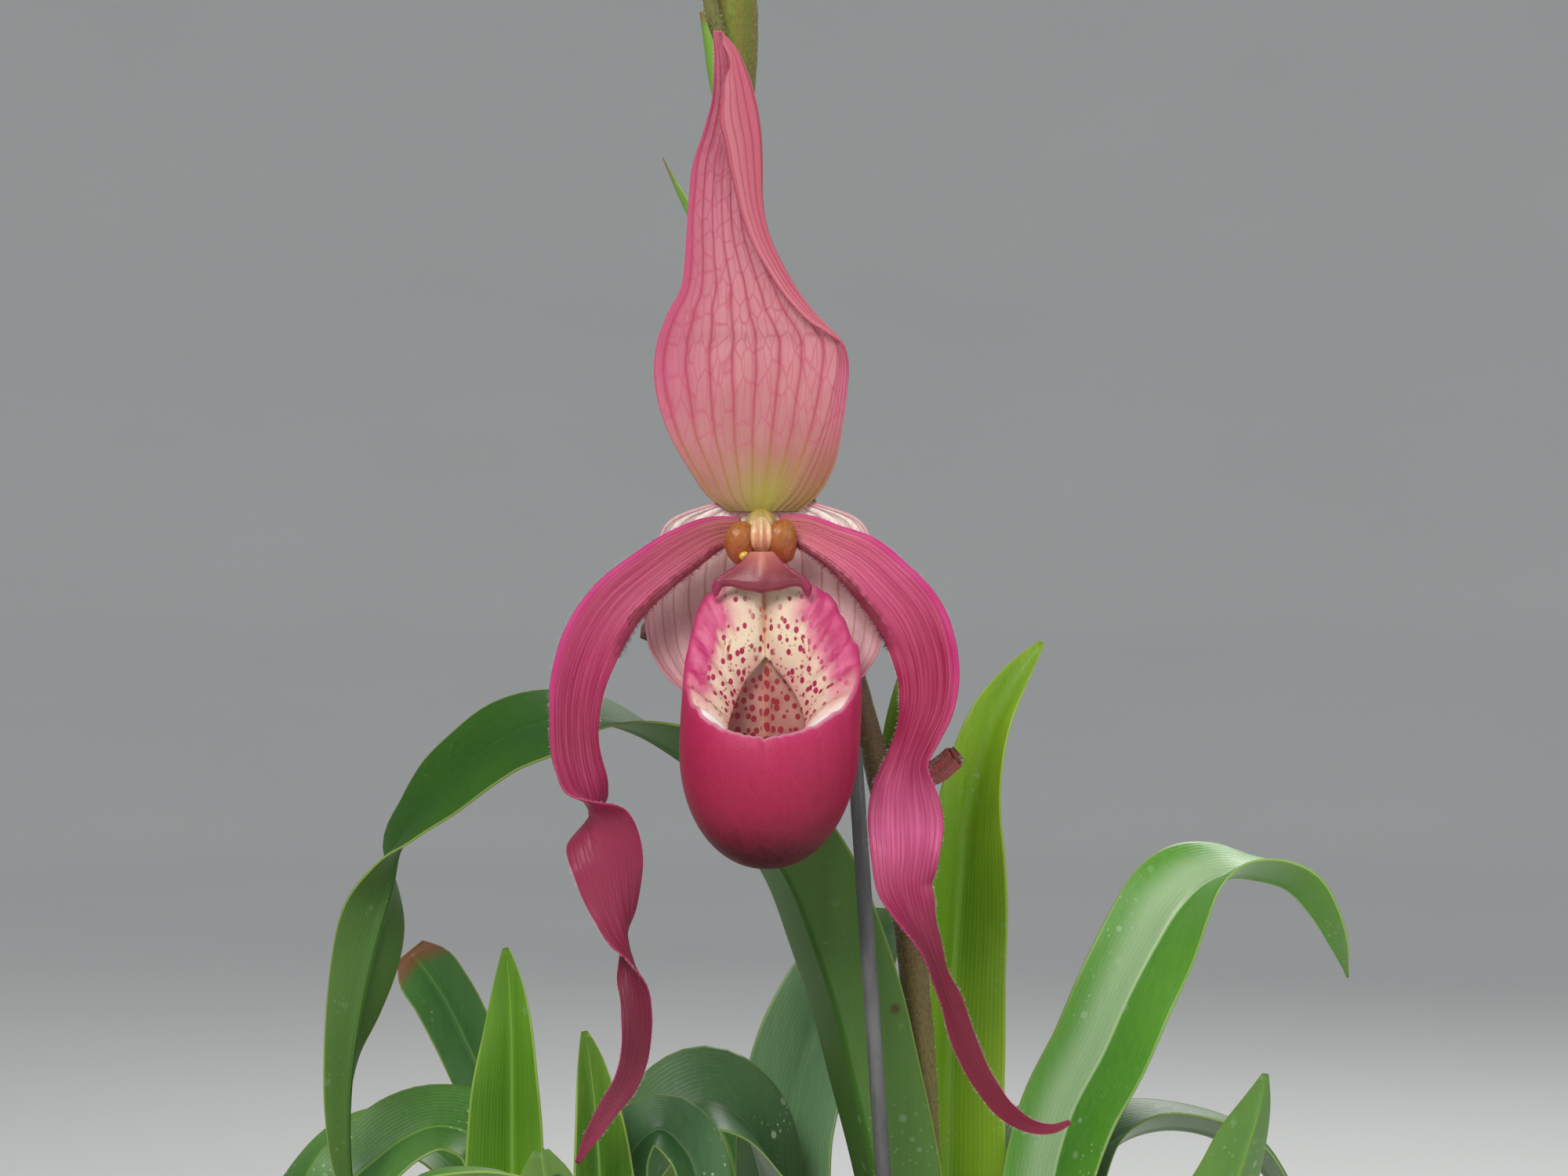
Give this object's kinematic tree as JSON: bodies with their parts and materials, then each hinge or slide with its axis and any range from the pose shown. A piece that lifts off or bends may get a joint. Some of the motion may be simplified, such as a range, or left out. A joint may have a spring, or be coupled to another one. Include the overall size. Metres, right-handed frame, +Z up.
{
  "type": "potted orchid",
  "caption": "slipper orchid in a plain round pot: strap leaves, a hairy stem with buds and bracts, and an open bloom with long twisted petals and a hollow pouch",
  "frame": {"origin": "centre of the pot's foot, on the surface it stands on", "axes": "+Z up along the pot's axis, the bloom faces -Y, +X to the viewer's right"},
  "size_m": [0.2289, 0.2112, 0.5091],
  "materials": {
    "pot": "unglazed terracotta, slightly weathered",
    "potting_bark": "coarse damp bark chips",
    "leaf_upright": "living leaf, smooth and leathery with a soft sheen",
    "leaf_arching": "living leaf, smooth and leathery with a soft sheen",
    "leaf_back": "living leaf, smooth and leathery with a soft sheen",
    "leaf_pointed": "living leaf, smooth and leathery with a soft sheen",
    "leaf_drooping_left": "living leaf, smooth and leathery with a soft sheen",
    "leaf_rounded": "living leaf, smooth and leathery with a soft sheen",
    "leaf_low_left": "living leaf, smooth and leathery with a soft sheen",
    "leaf_small_pointed": "living leaf, smooth and leathery with a soft sheen",
    "leaf_hooked": "living leaf, smooth and leathery with a soft sheen",
    "leaf_short": "living leaf, smooth and leathery with a soft sheen",
    "leaf_front": "living leaf, smooth and leathery with a soft sheen",
    "leaf_middle": "living leaf, smooth and leathery with a soft sheen",
    "leaf_broad_left": "living leaf, smooth and leathery with a soft sheen",
    "leaf_far_back": "living leaf, smooth and leathery with a soft sheen",
    "leaf_glossy": "living leaf, smooth and leathery with a soft sheen",
    "leaf_low_right": "living leaf, smooth and leathery with a soft sheen",
    "leaf_right_edge": "living leaf, smooth and leathery with a soft sheen",
    "scape": "living stem with a short velvety nap",
    "stake": "thin grey coated wire",
    "bract_lower": "living bract, thin and smooth",
    "bract_middle": "living bract, thin and smooth",
    "bract_upper": "living bract, thin and smooth",
    "bract_top": "living bract, thin and smooth",
    "ovary": "living tissue with a short velvety nap",
    "spent_ovary_right": "living tissue with a short velvety nap",
    "spent_ovary_left": "living tissue with a short velvety nap",
    "next_bud": "living bud, finely downy",
    "last_bud": "living bud, finely downy",
    "petal_left": "satin petal with fine hairs on its edge",
    "petal_right": "satin petal with fine hairs on its edge",
    "dorsal_sepal": "satin sepal with darker lengthwise veins",
    "synsepal": "satin sepal with tan veins",
    "pouch": "velvety outside, cream spotted inside",
    "column": "moist waxy tissue",
    "staminode": "moist waxy tissue"
  },
  "bodies": {
    "root": {"pot": "pot", "potting_bark": "potting_bark", "leaf_upright": "leaf_upright", "leaf_arching": "leaf_arching", "leaf_back": "leaf_back", "leaf_pointed": "leaf_pointed", "leaf_drooping_left": "leaf_drooping_left", "leaf_rounded": "leaf_rounded", "leaf_low_left": "leaf_low_left", "leaf_small_pointed": "leaf_small_pointed", "leaf_hooked": "leaf_hooked", "leaf_short": "leaf_short", "leaf_front": "leaf_front", "leaf_middle": "leaf_middle", "leaf_broad_left": "leaf_broad_left", "leaf_far_back": "leaf_far_back", "leaf_glossy": "leaf_glossy", "leaf_low_right": "leaf_low_right", "leaf_right_edge": "leaf_right_edge", "scape": "scape", "stake": "stake", "bract_lower": "bract_lower", "bract_middle": "bract_middle", "bract_upper": "bract_upper", "bract_top": "bract_top", "ovary": "ovary", "spent_ovary_right": "spent_ovary_right", "spent_ovary_left": "spent_ovary_left", "next_bud": "next_bud", "last_bud": "last_bud", "petal_left": "petal_left", "petal_right": "petal_right", "dorsal_sepal": "dorsal_sepal", "synsepal": "synsepal", "pouch": "pouch", "column": "column", "staminode": "staminode"}
  },
  "joints": []
}
